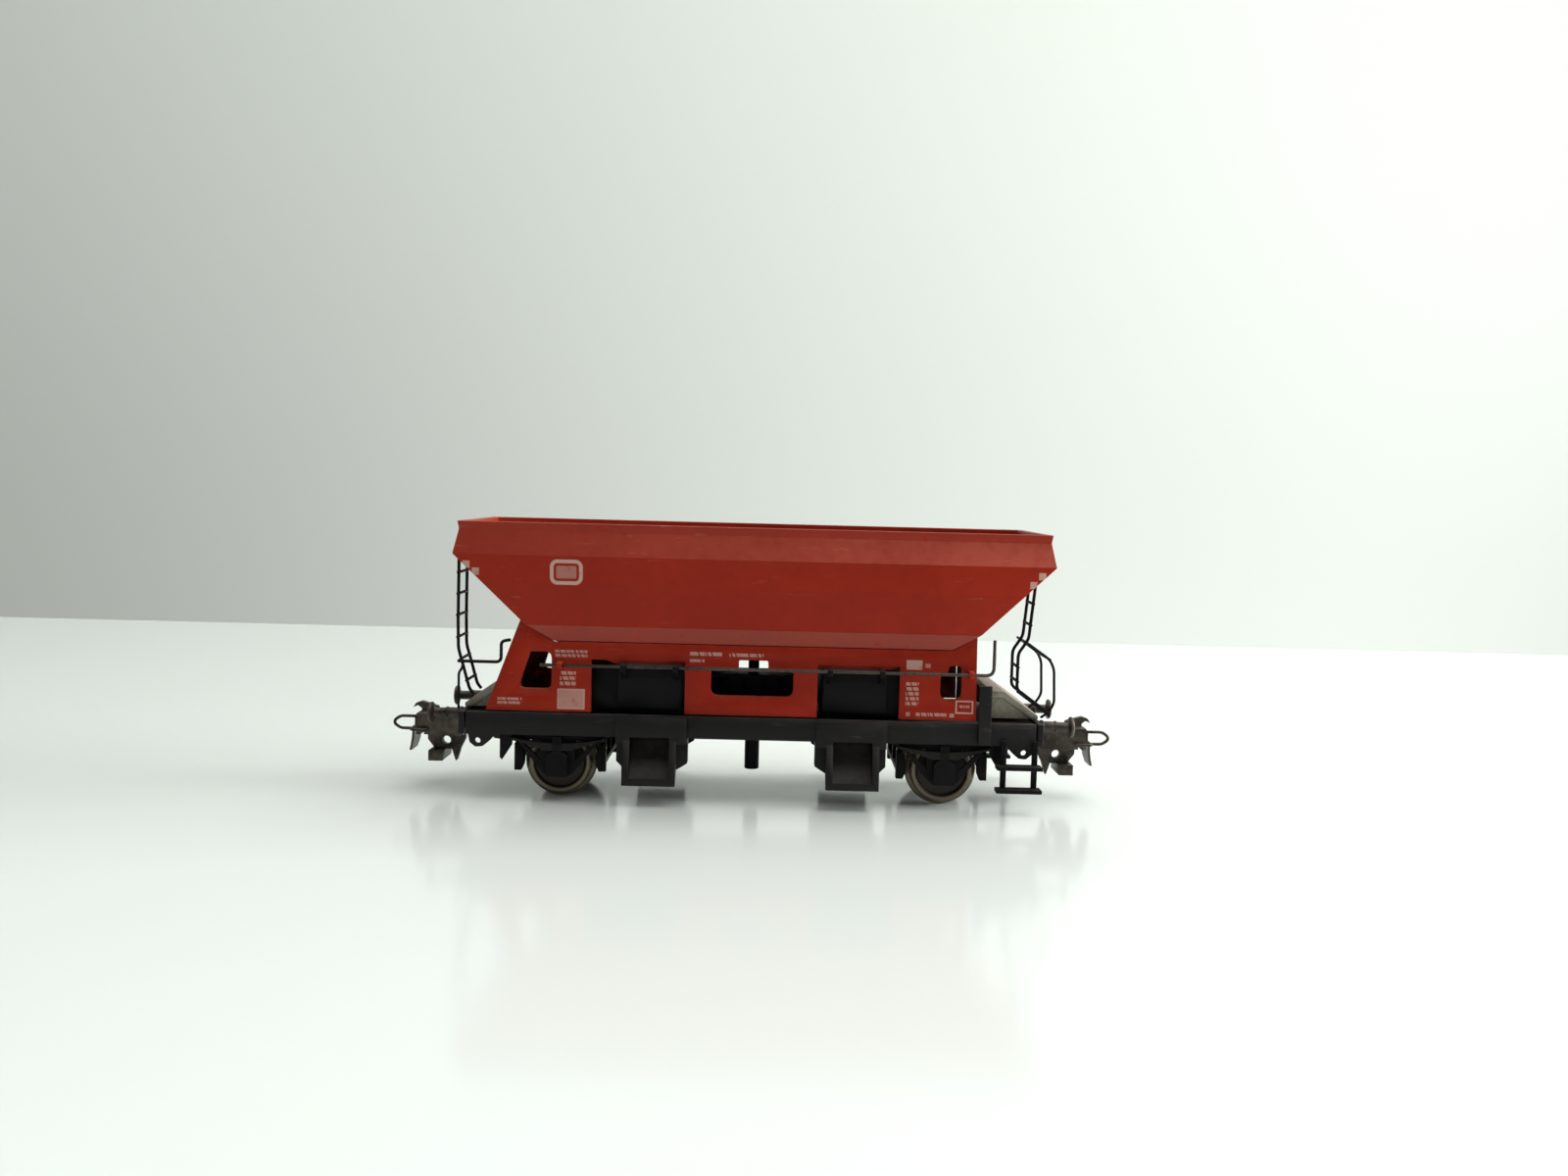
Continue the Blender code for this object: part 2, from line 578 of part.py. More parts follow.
def buffers():
    """Four buffers: sleeve, shaft and a slightly domed head, each turned in one piece."""
    for side, sy in SIDES.items():
        for end, sx in ENDS.items():
            start, front = 51.95, BUFFER_FRONT
            profile = [(0.0, start), (1.0, start), (1.0, 54.9), (0.85, 55.1), (0.85, front - 0.9),
                       (1.9, front - 0.7), (1.9, front - 0.25), (1.6, front), (0.0, front)]
            profile = [(r, -sx * x) for r, x in profile]
            obj = turned(profile, (0.0, 0.0, 0.0), 24)
            obj.data.transform(Matrix.Translation((0, sy * BUFFER_Y, BUFFER_Z))
                               @ Matrix.Rotation(math.pi / 2, 4, "Z"))
            finish(obj, f"buffer_{side}_{end}", "burnished_metal", smooth=35)


# ---------------------------------------------------------------- couplers
def coupler_head(end, sx):
    """Pressed metal head with hook and a holed web below it, on a shank with its pivot eye."""
    pivot = (sx * COUPLER_PIVOT, 0.0, 11.0)
    web = rounded([(53.4, 13.2), (60.6, 13.2), (60.6, 8.4), (59.2, 6.6), (56.1, 6.6), (55.3, 4.1),
                   (54.5, 6.8), (53.6, 8.6)], [0, 0, 0.8, 0.6, 0, 0.2, 0, 0.8])
    hole = circle(57.1, 8.3, 0.8, 14)
    web = plate(mirrored(web, sx), -0.7, 0.7, [mirrored(hole, sx)])
    flanks = [box(sx * 53.4, sx * 60.6, sy * 2.8, sy * 3.6, 9.8, 13.2) for sy in SIDES.values()]
    top = box(sx * 52.9, sx * 62.0, -3.6, 3.6, 12.8, 13.7)
    front = box(sx * 61.2, sx * 62.0, -3.6, 3.6, 9.8, 13.0)
    sides = [box(sx * 60.3, sx * 61.4, sy * 2.8, sy * 3.6, 10.2, 13.0) for sy in SIDES.values()]
    hook = [(58.6, 13.5), (61.7, 13.5), (61.8, 14.2), (62.5, 14.7), (63.4, 14.3), (62.9, 15.1),
            (61.8, 15.5), (58.8, 14.6)]
    hook = plate(mirrored(hook, sx), -0.6, 0.6)
    tab = box(sx * 57.2, sx * 59.8, -3.6, 3.6, 4.9, 6.8)
    shank = box(sx * COUPLER_PIVOT, sx * 60.6, -1.5, 1.5, 10.4, 11.6)
    brace = box(sx * 54.0, sx * 54.8, -3.6, 3.6, 9.6, 13.0)
    eye = rod_along("Z", 10.4, 11.6, (sx * COUPLER_PIVOT, 0.0), 2.1, 20)
    bore = rod_along("Z", 9.0, 13.0, (sx * COUPLER_PIVOT, 0.0), 0.95, 20)
    body = combine(top, join=[front, *sides, *flanks, web, hook, tab, brace, shank, eye], cut=[bore])
    finish(body, f"coupler_head_{end}", "burnished_metal", pivot)


def coupler_loop(end, sx):
    """The wire yoke pivoted on the head, with its upright eye and the curved tongue below it."""
    pivot_x, pivot_z = LOOP_PIVOT
    back, tip, low, high = LOOP_EYE
    half = LOOP_HALF_Y
    yoke = [(pivot_x - 0.6, -half, pivot_z), (back, -half, pivot_z), (back, half, pivot_z),
            (pivot_x - 0.6, half, pivot_z)]
    yoke = wire([(sx * x, y, z) for x, y, z in yoke], WIRE_R, 8, 0.6)
    eye = wire([(sx * x, 0.0, z) for x, z in ((back, low), (tip, low), (tip, high), (back, high))],
               WIRE_R, 8, 1.1)
    upright = wire([(sx * back, 0.0, low - 0.2), (sx * back, 0.0, high + 0.2)], WIRE_R, 8)
    tongue = [(62.6, 11.0), (62.5, 9.4), (62.7, 7.8), (63.1, 6.4), (63.5, 6.5), (63.2, 8.0),
              (63.1, 9.4), (63.2, 11.0)]
    tongue = plate(mirrored(tongue, sx), -2.6, 2.6)
    pivot = (sx * pivot_x, 0.0, pivot_z)
    finish(combine(yoke, join=[eye, upright, tongue]), f"coupler_loop_{end}", "burnished_metal", pivot, 50)


def couplers():
    for end, sx in ENDS.items():
        coupler_head(end, sx)
        coupler_loop(end, sx)
        stem = rod_along("Z", 9.6, 14.3, (sx * COUPLER_PIVOT, 0.0), 0.7, 16)
        head = rod_along("Z", 8.9, 10.0, (sx * COUPLER_PIVOT, 0.0), 1.5, 16)
        finish(combine(stem, join=[head]), f"coupler_screw_{end}", "burnished_metal", smooth=40)


# ---------------------------------------------------------------- wheelsets
def wheelsets():
    """Two axles with pointed ends and two flanged wheels each, turning as one."""
    back = BACK_TO_BACK / 2
    front = back + WHEEL_WIDTH
    for end, sx in ENDS.items():
        centre = (sx * AXLE_X, 0.0, AXLE_Z)
        half = [(0.0, 12.6), (0.45, 12.3), (0.55, 11.0), (0.8, 10.4), (0.8, 6.0), (1.0, 5.8)]
        profile = [(r, y) for r, y in half] + [(r, -y) for r, y in reversed(half)]
        finish(turned(profile, centre, 16), f"axle_{end}", "wheel_metal", centre, 40)
        for side, sy in SIDES.items():
            bore = 0.95
            wheel = [(bore, back), (5.0, back), (6.35, back), (FLANGE_R, back + 0.25),
                     (6.35, back + 0.75), (5.6, back + 0.95), (TREAD_R, front), (4.75, front),
                     (4.45, front - 0.7), (2.0, front - 0.7), (1.7, front), (bore, front)]
            wheel = [(r, sy * y) for r, y in wheel]
            finish(turned(wheel, centre, 44), f"wheel_{side}_{end}", "wheel_metal", centre, 30)


def build():
    hopper_shell()
    side_walls()
    outlet_blocks()
    centre_block()
    gate_gear()
    chutes()
    underframe()
    end_wedges()
    centre_post()
    axle_guards()
    brake_gear()
    end_fittings()
    buffers()
    couplers()
    wheelsets()


clear_scene()
MATERIALS = {name: material(name, *look) for name, look in FINISHES.items()}
build()
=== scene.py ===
import json
import math

import bmesh
import bpy
import numpy as np
from mathutils import Matrix, Vector

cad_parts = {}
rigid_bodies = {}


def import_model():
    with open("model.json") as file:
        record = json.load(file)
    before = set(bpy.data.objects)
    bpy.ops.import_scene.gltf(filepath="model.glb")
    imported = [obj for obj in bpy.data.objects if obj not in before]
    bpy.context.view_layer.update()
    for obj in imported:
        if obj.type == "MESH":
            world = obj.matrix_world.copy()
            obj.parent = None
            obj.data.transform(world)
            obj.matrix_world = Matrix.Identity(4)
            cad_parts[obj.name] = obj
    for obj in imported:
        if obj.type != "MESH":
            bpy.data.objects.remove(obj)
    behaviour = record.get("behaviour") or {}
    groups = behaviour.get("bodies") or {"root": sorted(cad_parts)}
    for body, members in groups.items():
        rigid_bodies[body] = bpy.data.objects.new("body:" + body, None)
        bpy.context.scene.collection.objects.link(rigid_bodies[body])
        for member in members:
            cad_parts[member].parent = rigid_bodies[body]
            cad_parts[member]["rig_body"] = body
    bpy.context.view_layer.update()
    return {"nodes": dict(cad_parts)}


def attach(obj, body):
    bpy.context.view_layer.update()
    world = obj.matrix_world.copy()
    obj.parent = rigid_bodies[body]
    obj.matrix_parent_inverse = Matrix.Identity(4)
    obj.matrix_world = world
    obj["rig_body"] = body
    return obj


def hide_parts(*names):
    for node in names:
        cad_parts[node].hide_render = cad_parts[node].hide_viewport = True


# A two-axle saddle hopper wagon in H0 scale. Metres, X along the track, Y across it, Z up; the near
# side is -Y and the brakeman's end is +X. The sections follow the order in which the model is built.
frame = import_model()

SIDES = {"near": -1, "far": 1}
ENDS = {"left": -1, "right": 1}
mm = 0.001


# ======================================================================== underframe
# The floor, its two sills and the two headstocks are one black injection moulding, slightly greyed by
# handling. Edges of a moulding are never sharp, so every flat piece is shown with a small eased edge.
def tone(red, green, blue):
    """Linear colour of a paint chip given in display values of 0 to 255: ((c + 0.055) / 1.055) ** 2.4."""
    chip = np.array((red, green, blue)) / 255
    linear = np.where(chip <= 0.04045, chip / 12.92, ((chip + 0.055) / 1.055) ** 2.4)
    return (*(float(c) for c in linear), 1.0)


class Paint:
    """One output of a material's nodes. Arithmetic on it adds Math nodes, add() any other node."""

    def __init__(self, tree, socket=None):
        self.tree = tree
        self.socket = socket

    def add(self, kind, settings=None, sockets=None, out=0):
        """A node of this kind: its settings first, then the values or links of its sockets."""
        node = self.tree.nodes.new(kind)
        for key, value in (settings or {}).items():
            setattr(node, key, value)
        for key, value in (sockets or {}).items():
            if isinstance(value, Paint):
                self.tree.links.new(value.socket, node.inputs[key])
            else:
                node.inputs[key].default_value = value
        return Paint(self.tree, node.outputs[out])

    def math(self, operation, *others):
        """A Math node of this operation on this value and any others."""
        return self.add("ShaderNodeMath", {"operation": operation}, dict(enumerate((self, *others))))

    def __add__(self, other):
        return self.math("ADD", other)

    __radd__ = __add__

    def __mul__(self, other):
        return self.math("MULTIPLY", other)

    __rmul__ = __mul__

    def __sub__(self, other):
        return self.math("SUBTRACT", other)

    def __rsub__(self, other):
        return (self * -1.0) + other

    def __truediv__(self, other):
        return self.math("DIVIDE", other)

    def __pow__(self, other):
        return self.math("POWER", other)

    def above(self, edge, soft):
        """0 below edge, 1 above it, with a ramp of width soft between."""
        return ((self - edge) / soft + 0.5).math("MAXIMUM", 0.0).math("MINIMUM", 1.0)

    def noise(self, size, detail=2.0, roughness=0.5):
        """Cloudy noise of about 0 to 1 whose lumps are size metres across."""
        return self.add("ShaderNodeTexNoise", {}, {"Vector": self, "Scale": 0.5 / size,
                                                   "Detail": detail, "Roughness": roughness})

    def between(self, low, high):
        """A colour between two colours, by this value."""
        return self.add("ShaderNodeMix", {"data_type": "RGBA", "clamp_factor": True},
                        {"Factor": self, 6: low, 7: high}, out=2)


def new_paint(name):
    """An empty material with its shader: (material, shader node, place on the piece, face direction)."""
    material = bpy.data.materials.new(name)
    material.use_nodes = True
    tree = material.node_tree
    shader = tree.nodes["Principled BSDF"]
    start = Paint(tree)
    place = start.add("ShaderNodeTexCoord", out=3)
    facing = start.add("ShaderNodeNewGeometry", out=1)
    return material, shader, place, facing


def split(vector):
    """The x, y and z of a vector value."""
    node = vector.tree.nodes.new("ShaderNodeSeparateXYZ")
    vector.tree.links.new(vector.socket, node.inputs[0])
    return [Paint(vector.tree, out) for out in node.outputs]


def connect(shader, socket, value):
    """Link a value to one of the shader's sockets."""
    value.tree.links.new(value.socket, shader.inputs[socket])


def moulded_plastic(name, deep, worn, dust, gloss=0.42, dust_amount=0.5, print_and_painted_light=None, shine=0.12):
    """Dyed plastic: cloudy tone, handling scuffs, dust on what faces up, and the mould's fine grain."""
    material, shader, place, facing = new_paint(name)
    up = split(facing)[2]
    cloud = place.noise(0.012, 3.0)
    fine = place.noise(0.0011, 4.0, 0.6)
    colour = (cloud * 0.75 + fine * 0.5).above(0.62, 0.5).between(deep, worn)
    scratches = place.add("ShaderNodeMapping", {}, {"Vector": place, "Scale": (0.16, 1.0, 1.0)})
    scuff = scratches.noise(0.00045, 5.0, 0.7).above(0.66, 0.09) * cloud.above(0.5, 0.2)
    lying = up.above(0.35, 0.5) * (fine * 0.7 + cloud * 0.6).above(0.55, 0.35) * dust_amount
    layer = (scuff * 0.35 + lying).math("MINIMUM", 1.0)
    colour = layer.between(colour, dust)
    rough = fine * 0.16 + cloud * 0.1 + lying * 0.3 + (gloss - 0.13)
    if print_and_painted_light:
        # The print function also lays painted light and painted shade into the colour: lighter hopper bands,
        # near-black inner wall faces.
        mask, ink_and_painted_light = print_and_painted_light(place, facing)
        colour = (mask * (1.0 - fine.above(0.66, 0.12) * 0.6)).between(colour, ink_and_painted_light)
        rough = rough + mask * 0.08
    grain = place.noise(0.00016, 3.0)
    height = grain * 0.55 + fine * 0.45 + scuff * 0.5
    bump = place.add("ShaderNodeBump", {}, {"Height": height, "Strength": 0.28, "Distance": 0.00005})
    connect(shader, "Base Color", colour)
    connect(shader, "Roughness", rough)
    connect(shader, "Normal", bump)
    shader.inputs["Specular IOR Level"].default_value = shine
    return material


BLACK = moulded_plastic("black_plastic", tone(12, 10, 12), tone(20, 18, 20), tone(70, 66, 62), 0.5, 0.3)
SILL_BLACK = moulded_plastic("sill_plastic", tone(21, 19, 20), tone(31, 28, 29), tone(84, 80, 76), 0.5, 0.4,
                             shine=0.2)
edge_ease = 0.11 * mm
weld = 2e-6
most_corners = 6


def eased_copy(node, material, ease=edge_ease, crease=24.0, sharp_between=(0.0, 0.0)):
    """A CAD node's own surface with its loose triangles merged, coplanar faces joined, and each edge
    sharper than the crease angle replaced by a narrow rounded band. It rides where the node rides.
    Edges that lie wholly between two heights in millimetres keep their triangles and stay sharp.
    Faces of many corners are cut up first, so that the band can't fold them over."""
    source = frame["nodes"][node]
    bm = bmesh.new()
    bm.from_mesh(source.data)
    bmesh.ops.remove_doubles(bm, verts=bm.verts, dist=weld)
    low, high = (height * mm for height in sharp_between)
    free_verts = [v for v in bm.verts if not low < v.co.z < high]
    free_edges = [e for e in bm.edges if not all(low < v.co.z < high for v in e.verts)]
    bmesh.ops.dissolve_limit(bm, angle_limit=math.radians(1.0), verts=free_verts, edges=free_edges)
    bmesh.ops.triangulate(bm, faces=[f for f in bm.faces if len(f.verts) > most_corners])
    weight = bm.edges.layers.float.new("bevel_weight_edge")
    for edge in bm.edges:
        kept = all(low < v.co.z < high for v in edge.verts)
        edge[weight] = float(not kept and edge.calc_face_angle(0.0) > math.radians(crease))
    mesh = bpy.data.meshes.new(f"{node}_skin")
    bm.to_mesh(mesh)
    bm.free()
    mesh.shade_smooth()
    piece = bpy.data.objects.new(mesh.name, mesh)
    bpy.context.scene.collection.objects.link(piece)
    bevel = piece.modifiers.new("eased_edges", "BEVEL")
    bevel.width = ease
    bevel.segments = 2
    bevel.limit_method = "WEIGHT"
    bevel.harden_normals = True
    return dress(piece, material, source["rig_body"], [node])


def dress(piece, material, body, nodes=()):
    """Give a piece its material and its body, and hide the nodes it stands for."""
    piece.data.materials.clear()
    piece.data.materials.append(material)
    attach(piece, body)
    if nodes:
        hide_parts(*nodes)
    return piece


eased_copy("underframe_floor", BLACK)
for side in SIDES:
    eased_copy(f"sill_{side}", SILL_BLACK)
for end in ENDS:
    eased_copy(f"headstock_{end}", SILL_BLACK)


# ======================================================================== posts of the floor
# The upper post holds the hopper down between the funnels; the boss below the floor takes its screw.
# Both are moulded with the floor, and their ends are turned over with a small radius.
def eased_outline(points, radius, steps=5):
    """Each corner of a polyline becomes a quadratic curve that starts and ends radius before and
    after it, or at 45% of a shorter side: start (1-t)^2 + corner 2t(1-t) + end t^2. The two ends stay."""
    points = np.asarray(points, float)
    corners = points[1:-1]
    back, ahead = points[:-2] - corners, points[2:] - corners
    lengths = [np.linalg.norm(side, axis=1, keepdims=True) for side in (back, ahead)]
    reach = np.minimum(radius, 0.45 * np.minimum(*lengths))
    start, end = corners + back / lengths[0] * reach, corners + ahead / lengths[1] * reach
    t = np.linspace(0.0, 1.0, steps + 1)[None, :, None]
    curve = start[:, None] * (1 - t) ** 2 + corners[:, None] * 2 * t * (1 - t) + end[:, None] * t ** 2
    return np.vstack([points[:1], curve.reshape(-1, points.shape[1]), points[-1:]])


def grid_surface(points, close_rows=False):
    """Vertices and quads of a grid of points (rows x columns x 3) whose columns run round and close;
    close_rows joins the last row to the first, otherwise both end rows are capped by one face."""
    rows, columns = points.shape[:2]
    index = np.arange(rows * columns).reshape(rows, columns)
    if close_rows:
        index = np.vstack([index, index[:1]])
    low, high = index[:-1], index[1:]
    quads = np.stack([low, np.roll(low, -1, 1), np.roll(high, -1, 1), high], -1).reshape(-1, 4)
    caps = [] if close_rows else [index[0][::-1].tolist(), index[-1].tolist()]
    return points.reshape(-1, 3), quads.tolist() + caps


def surface_piece(name, surfaces, material, body, nodes=(), smooth=40.0):
    """One mesh from several closed surfaces in millimetres, with normals turned outward."""
    verts, faces, start = [], [], 0
    for points, polygons in surfaces:
        verts.append(points * mm)
        faces += [[i + start for i in polygon] for polygon in polygons]
        start += len(points)
    mesh = bpy.data.meshes.new(name)
    mesh.from_pydata(np.vstack(verts).tolist(), [], faces)
    bm = bmesh.new()
    bm.from_mesh(mesh)
    bmesh.ops.remove_doubles(bm, verts=bm.verts, dist=1e-7)
    bmesh.ops.recalc_face_normals(bm, faces=bm.faces)
    bm.to_mesh(mesh)
    bm.free()
    mesh.shade_smooth()
    mesh.set_sharp_from_angle(angle=math.radians(smooth))
    piece = bpy.data.objects.new(name, mesh)
    bpy.context.scene.collection.objects.link(piece)
    return dress(piece, material, body, nodes)


def turned_surface(profile, centre, axis="Z", segments=48, ring=False):
    """A profile of (radius, height) points carried round an axis: across = radius times the cosine
    and sine of the angle, along = height. ring joins the profile's end to its start, as in a wheel."""
    profile = np.asarray(profile, float)
    angle = np.linspace(0.0, 2 * np.pi, segments, endpoint=False)
    first, second = np.outer(profile[:, 0], np.cos(angle)), np.outer(profile[:, 0], np.sin(angle))
    along = np.repeat(profile[:, 1:2], segments, 1)
    order = {"X": (along, first, second), "Y": (second, along, first), "Z": (first, second, along)}
    return grid_surface(np.stack(order[axis], -1) + np.asarray(centre, float), ring)


post_top, floor_top, boss_bottom = 25.6, 16.1, 4.2
post = eased_outline([(0.02, floor_top), (1.0, floor_top), (1.0, post_top), (0.02, post_top)], 0.25)
surface_piece("centre_post_skin", [turned_surface(post, (0, 0, 0))], BLACK, "root",
              ["centre_post"])
boss = eased_outline([(0.45, 14.3), (1.35, 14.3), (1.35, boss_bottom), (0.62, boss_bottom),
                      (0.62, 7.0), (0.45, 7.0)], 0.16)
surface_piece("centre_boss_skin", [turned_surface(boss, (0, 0, 0), ring=True)], BLACK, "root",
              ["centre_boss"])


# ======================================================================== axle guards and springs
# Each W-shaped guard is moulded with its axle box, buckle and leaf spring. The spring's separate
# leaves stand a little proud of the guard, the longest on top.
leaf_thickness, leaf_z, leaf_bow, bow_half = 0.24, 11.42, 0.9, 8.2
leaf_halves = (8.1, 6.8, 5.4, 4.0, 2.8)


def leaf_strip(middle, half, drop, inner, outer):
    """A bowed strip: z = leaf_z - leaf_bow (1 - (x / bow_half)^2) - drop, swept as a rounded
    rectangle from the inner to the outer face."""
    x = np.linspace(-half, half, 25)
    z = leaf_z - leaf_bow * (1 - (x / bow_half) ** 2) - drop
    y_ring = np.array([inner, outer - 0.07, outer, outer, outer - 0.07, inner])
    z_ring = np.array([0.5, 0.5, 0.24, -0.24, -0.5, -0.5]) * leaf_thickness
    points = np.empty((len(x), len(y_ring), 3))
    points[..., 0] = middle + x[:, None]
    points[..., 1] = y_ring
    points[..., 2] = z[:, None] + z_ring
    return grid_surface(points)


axle_x, axle_z = 34.5, 6.55
for side, sy in SIDES.items():
    for end, sx in ENDS.items():
        eased_copy(f"axle_guard_{side}_{end}", BLACK)
        leaves = [leaf_strip(sx * axle_x, half, i * (leaf_thickness + 0.02), sy * 13.3, sy * 13.66)
                  for i, half in enumerate(leaf_halves)]
        surface_piece(f"spring_leaves_{side}_{end}", leaves, SILL_BLACK, "root")
for end in ENDS:
    eased_copy(f"brake_gear_{end}", BLACK, ease=0.07 * mm)


# ======================================================================== wheelsets
# Turned steel wheels, chemically darkened, pressed on a plain axle with pointed ends. The rails keep
# the tread and the flange bright, while the disc between rim and hub stays brown-black.
def bare_metal(name, dark, light, roughness, metallic, lump=0.004):
    """Darkened metal: cloudy oxide, fine scratches, and a thin film of dust on what faces up."""
    material, shader, place, facing = new_paint(name)
    cloud = place.noise(lump, 3.0)
    fine = place.noise(0.0004, 4.0, 0.65)
    worn = (cloud * 0.6 + fine * 0.6).above(0.66, 0.35)
    dusty = split(facing)[2].above(0.5, 0.6) * cloud.above(0.45, 0.4) * 0.3
    colour = dusty.between(worn.between(dark, light), tone(110, 104, 94))
    connect(shader, "Base Color", colour)
    connect(shader, "Roughness", fine * 0.2 + dusty * 0.3 + (roughness - 0.08))
    connect(shader, "Metallic", (dusty * -0.6) + metallic)
    bump = place.add("ShaderNodeBump", {}, {"Height": fine, "Strength": 0.25, "Distance": 0.00004})
    connect(shader, "Normal", bump)
    return material


def wheel_steel(name, middle):
    """Brown-black disc and bright turned rim: brightness follows the distance from the axle's line,
    and fine rings of noise in that distance stand for the marks of the turning tool."""
    material, shader, place, _ = new_paint(name)
    x, _, z = split(place)
    away = ((x - middle) ** 2.0 + (z - axle_z * mm) ** 2.0).math("SQRT")
    cloud = place.noise(0.003, 3.0)
    rings = away.add("ShaderNodeTexNoise", {"noise_dimensions": "1D"},
                     {"W": away * 9000.0, "Scale": 1.0, "Detail": 2.0})
    rim = away.above(4.65 * mm, 0.4 * mm) * (cloud * 0.5 + 0.65)
    disc = (cloud * 0.7 + rings * 0.3).between(tone(30, 26, 22), tone(54, 47, 39))
    colour = rim.between(disc, tone(122, 113, 97))
    connect(shader, "Base Color", colour)
    connect(shader, "Metallic", rim * 0.55 + 0.4)
    connect(shader, "Roughness", rings * 0.18 + cloud * 0.12 + 0.26)
    bump = place.add("ShaderNodeBump", {}, {"Height": rings, "Strength": 0.2, "Distance": 0.00003})
    connect(shader, "Normal", bump)
    return material


AXLE_STEEL = bare_metal("axle_steel", tone(66, 62, 56), tone(120, 114, 104), 0.34, 0.9)
back, width = 7.0, 2.9
front = back + width
wheel_profile = [(0.92, back), (2.1, back), (2.2, back + 0.5), (4.5, back + 0.5), (4.7, back), (6.1, back),
                 (6.35, back), (6.55, back + 0.3), (6.35, back + 0.75), (5.62, back + 0.95),
                 (5.45, front), (4.75, front), (4.45, front - 0.7), (2.05, front - 0.75),
                 (1.75, front), (0.92, front), (0.92, back)]
axle_half = [(0.8, 0.0), (0.8, 10.4), (0.55, 11.0), (0.45, 12.3), (0.02, 12.6)]
axle_profile = [(r, -y) for r, y in axle_half[:0:-1]] + axle_half[1:]
for end, sx in ENDS.items():
    centre = (sx * axle_x, 0.0, axle_z)
    steel = wheel_steel(f"wheel_steel_{end}", sx * axle_x * mm)
    surface_piece(f"axle_{end}_skin", [turned_surface(axle_profile, centre, "Y", 32)], AXLE_STEEL,
                  f"wheelset_{end}", [f"axle_{end}"])
    for side, sy in SIDES.items():
        outline = eased_outline(wheel_profile, 0.16, 3)[:-1] * (1, sy)
        surface_piece(f"wheel_{side}_{end}_skin", [turned_surface(outline, centre, "Y", 96, True)],
                      steel, f"wheelset_{end}", [f"wheel_{side}_{end}"], 50.0)


# ======================================================================== buffers
# Turned metal buffers, burnished dark like the couplers: a sleeve with a collar on the headstock, a
# plunger and a shallow head. They are pushed into holes in the headstock.
BURNISHED = bare_metal("burnished_metal", tone(44, 38, 32), tone(100, 92, 80), 0.4, 0.6, 0.0025)
buffer_profile = [(0.02, 51.95), (1.2, 51.95), (1.2, 52.5), (1.0, 52.6), (1.0, 54.5), (1.1, 54.6),
                  (1.1, 54.95), (0.85, 55.1), (0.85, 57.0), (1.1, 57.15), (1.9, 57.35), (1.9, 57.75),
                  (1.6, 58.0), (0.02, 58.0)]
buffer_y, buffer_z = 10.0, 15.1
for side, sy in SIDES.items():
    for end, sx in ENDS.items():
        outline = eased_outline(buffer_profile, 0.12, 3) * (1, sx)
        surface_piece(f"buffer_{side}_{end}_skin",
                      [turned_surface(outline, (0, sy * buffer_y, buffer_z), "X", 48)],
                      BURNISHED, "root", [f"buffer_{side}_{end}"])


# ======================================================================== couplers
# The head is pressed from one sheet, folded and burnished brown-black; the yoke and its upright eye are
# spring wire, with a bent tongue below for uncoupling. A shouldered screw holds the shank.
WIRE = bare_metal("bail_wire", tone(50, 45, 39), tone(92, 84, 74), 0.36, 0.7, 0.002)


def wire_surface(path, radius, bend=0.0, sides=12):
    """A round wire: a circle carried along a path whose corners are bent, across the path at every
    point: first = along x helper and second = along x first, with one fixed axis as the helper."""
    path = eased_outline(path, bend, 7) if bend else np.asarray(path, float)
    along = np.gradient(path, axis=0)
    along /= np.linalg.norm(along, axis=1, keepdims=True)
    helper = np.eye(3)[np.argmin(np.abs(along).sum(0))]
    first = np.cross(along, helper)
    first /= np.linalg.norm(first, axis=1, keepdims=True)
    second = np.cross(along, first)
    angle = np.linspace(0.0, 2 * np.pi, sides, endpoint=False)
    ring = first[:, None] * np.cos(angle)[:, None] + second[:, None] * np.sin(angle)[:, None]
    points = path[:, None] + ring * radius
    start = path[0] + ring[0] * radius * 0.72 - along[0] * radius * 0.3
    end = path[-1] + ring[-1] * radius * 0.72 + along[-1] * radius * 0.3
    return grid_surface(np.concatenate([start[None], points, end[None]]))


